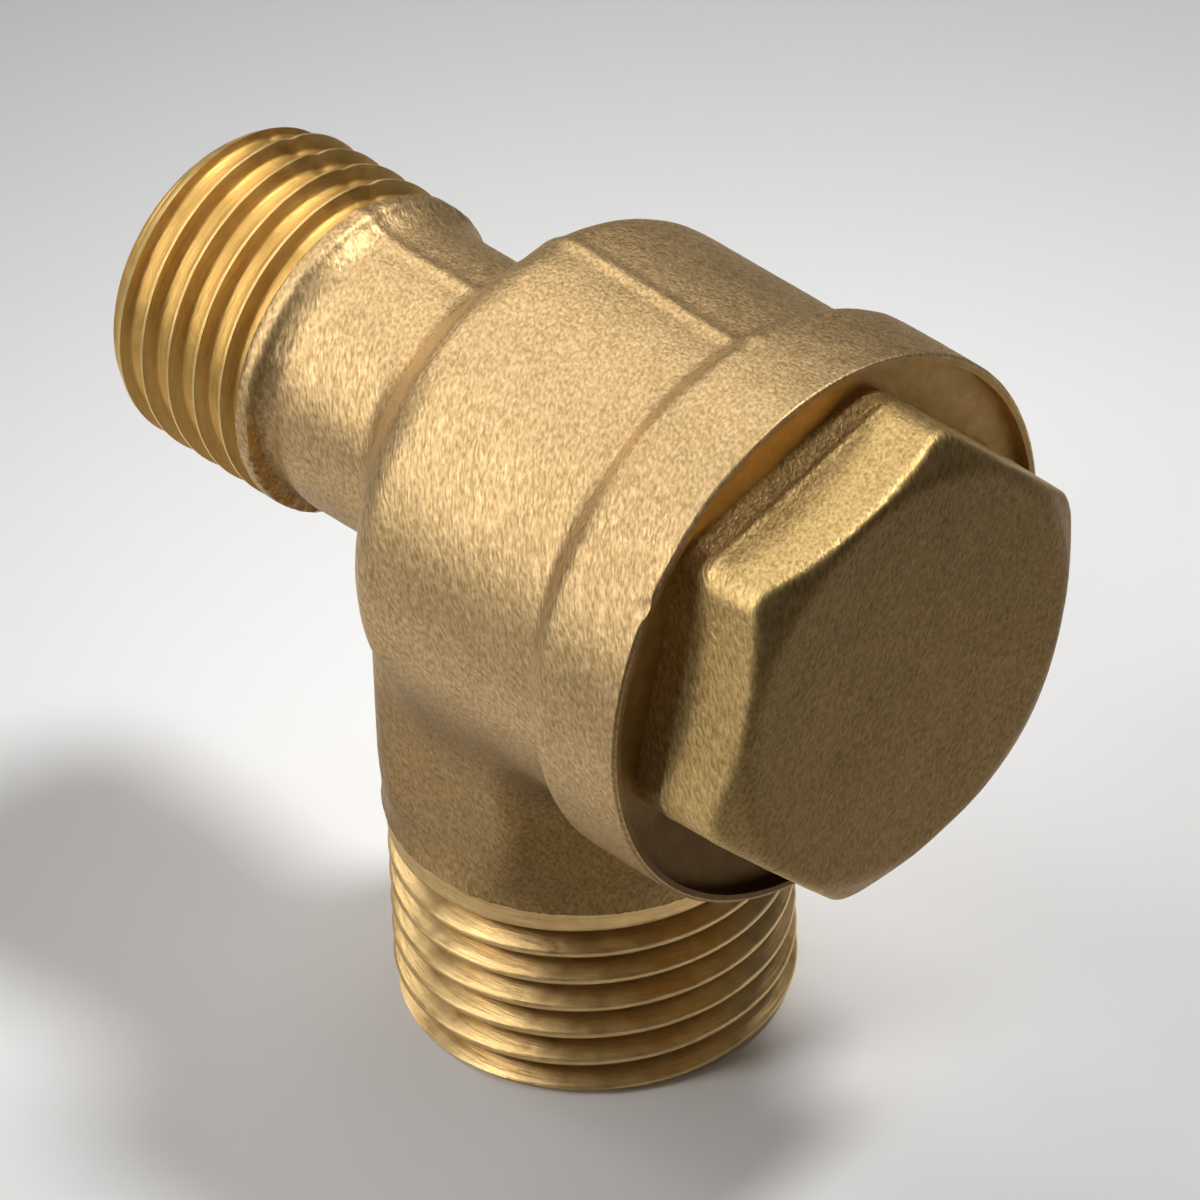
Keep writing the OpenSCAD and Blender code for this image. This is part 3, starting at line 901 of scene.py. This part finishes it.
cap_piece = make_cap()
centres = face_centres(cap_piece)
dress(cap_piece, [HEAD, TURNED], np.where(off_skin(centres, head_field), 1, 0))
finish_mesh(cap_piece)
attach(cap_piece, "housing")
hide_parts("cap")

# The spring is a copy of its node, dressed in spring steel
spring_piece = bpy.data.objects.new("spring_coil", frame["nodes"]["spring"].data.copy())
spring_piece.data.materials.clear()
spring_piece.data.materials.append(spring_steel("spring_steel"))
bpy.context.scene.collection.objects.link(spring_piece)
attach(spring_piece, "housing")
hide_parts("spring")
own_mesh(spring_piece)

finishes = {"poppet": TURNED, "seat_seal": rubber("nitrile_rubber"), "cap_seal": rubber("ring_rubber")}
for node, material in finishes.items():
    mesh = frame["nodes"][node].data
    mesh.materials.clear()
    mesh.materials.append(material)

# Floor, light and camera
bpy.ops.mesh.primitive_plane_add(size=6)
floor = bpy.context.object
floor.name = "floor"
floor.data.materials.append(floor_paint("pale_floor"))


def beam(azimuth, elevation):
    """Direction towards a lamp or the camera. Azimuth 0 stands at -Y and 90 at +X."""
    a, e = math.radians(azimuth), math.radians(elevation)
    return Vector((math.sin(a) * math.cos(e), -math.cos(a) * math.cos(e), math.sin(e)))


def hang(name, lamp, target, azimuth, elevation, distance):
    """Puts a lamp at a distance in millimetres from its target and aims it there."""
    back = beam(azimuth, elevation)
    holder = bpy.data.objects.new(name, lamp)
    holder.location = (Vector(target) + back * distance) * MM
    holder.rotation_euler = back.to_track_quat("Z", "Y").to_euler()
    bpy.context.scene.collection.objects.link(holder)


def spot(name, azimuth, elevation, target, distance, cone, radius, power):
    """Soft spot lamp whose cone, in degrees, keeps its light near the target."""
    lamp = bpy.data.lights.new(name, "SPOT")
    lamp.spot_size = math.radians(cone)
    lamp.spot_blend = SPOT_BLEND
    lamp.shadow_soft_size = radius * MM
    lamp.energy = power
    hang(name, lamp, target, azimuth, elevation, distance)


def valve_lamp(name, azimuth, elevation, power):
    """Lamp that lights the valve and little of the floor."""
    spot(name, azimuth, elevation, VALVE_MIDDLE, VALVE_LAMP_DISTANCE, VALVE_LAMP_CONE, VALVE_LAMP_R, power)


def floor_lamp(name, azimuth, elevation, power):
    """Lamp that lights the floor behind the valve, as the camera sees it, and the valve's top."""
    spot(name, azimuth, elevation, FLOOR_BEHIND, FLOOR_LAMP_DISTANCE, FLOOR_LAMP_CONE, FLOOR_LAMP_R, power)


SPOT_BLEND = 0.6
VALVE_MIDDLE = (-2, 0, AXIS_Z + 1)
VALVE_LAMP_DISTANCE = 300
VALVE_LAMP_CONE = 24
VALVE_LAMP_R = 60
FLOOR_BEHIND = (-22, 22, 0)
FLOOR_LAMP_DISTANCE = 650
FLOOR_LAMP_CONE = 16
FLOOR_LAMP_R = 90
valve_lamp("key", -25, 42, 1.3)
valve_lamp("low_key", -30, 12, 0.95)
valve_lamp("left", -85, 25, 0.8)
valve_lamp("high", -50, 65, 0.55)
valve_lamp("top", -110, 53, 0.65)
valve_lamp("back_top", -150, 45, 0.15)
floor_lamp("floor_pool", 152, 66, 15.5)

world = bpy.data.worlds.new("studio")
bpy.context.scene.world = world
world.use_nodes = True
world.node_tree.nodes["Background"].inputs["Color"].default_value = (1, 1, 1, 1)
world.node_tree.nodes["Background"].inputs["Strength"].default_value = 0.1

CAMERA_AZIMUTH = 46.335
CAMERA_ELEVATION = 39.04
CAMERA_ROLL = -2.408
CAMERA_SHIFT_RIGHT = 1.2395
CAMERA_SHIFT_UP = -6.089
CAMERA_DISTANCE = 733.4
CAMERA_LENS = 435.24
SENSOR = 36.0


def place_camera():
    a, roll = math.radians(CAMERA_AZIMUTH), math.radians(CAMERA_ROLL)
    back = beam(CAMERA_AZIMUTH, CAMERA_ELEVATION)
    level = Vector((math.cos(a), math.sin(a), 0))
    upright = back.cross(level)
    right = math.cos(roll) * level + math.sin(roll) * upright
    up = -math.sin(roll) * level + math.cos(roll) * upright
    where = right * CAMERA_SHIFT_RIGHT + up * CAMERA_SHIFT_UP + back * CAMERA_DISTANCE
    data = bpy.data.cameras.new("camera")
    data.sensor_width = SENSOR
    data.lens = CAMERA_LENS
    data.clip_end = 20
    holder = bpy.data.objects.new("camera", data)
    turn = Matrix((right, up, back)).transposed().to_4x4()
    holder.matrix_world = Matrix.Translation((where + Vector((0, 0, AXIS_Z))) * MM) @ turn
    bpy.context.scene.collection.objects.link(holder)
    bpy.context.scene.camera = holder


place_camera()

scene = bpy.context.scene
scene.view_settings.view_transform = "Standard"
